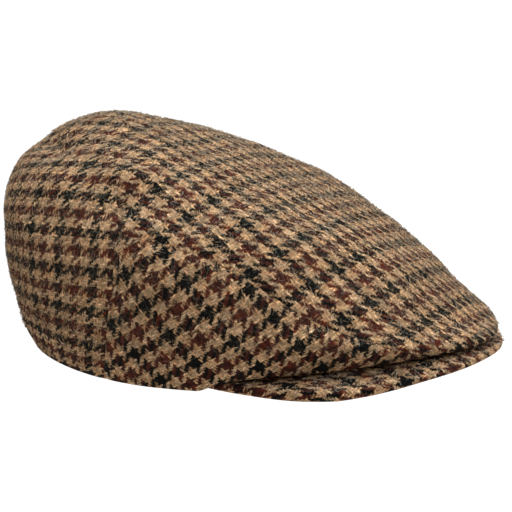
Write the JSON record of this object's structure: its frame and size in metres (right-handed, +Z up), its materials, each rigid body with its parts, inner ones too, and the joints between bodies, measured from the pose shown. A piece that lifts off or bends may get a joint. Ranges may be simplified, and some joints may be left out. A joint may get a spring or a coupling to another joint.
{
  "type": "flat cap",
  "caption": "Soft flat cap of checked wool tweed with a domed top panel, rounded side panels and a short stiff peak sewn under the front.",
  "frame": {"origin": "on the surface the cap stands on, under the middle of its box", "axes": "+Z up, the peak points to -Y, the wearer's right side is at -X"},
  "size_m": [0.2058, 0.2634, 0.1162],
  "materials": {
    "tweed": "matte woven wool in a small check of tan, dark green and rust"
  },
  "bodies": {
    "root": {"top_panel": "tweed", "side_panel_right": "tweed", "side_panel_left": "tweed", "peak": "tweed"}
  },
  "joints": []
}
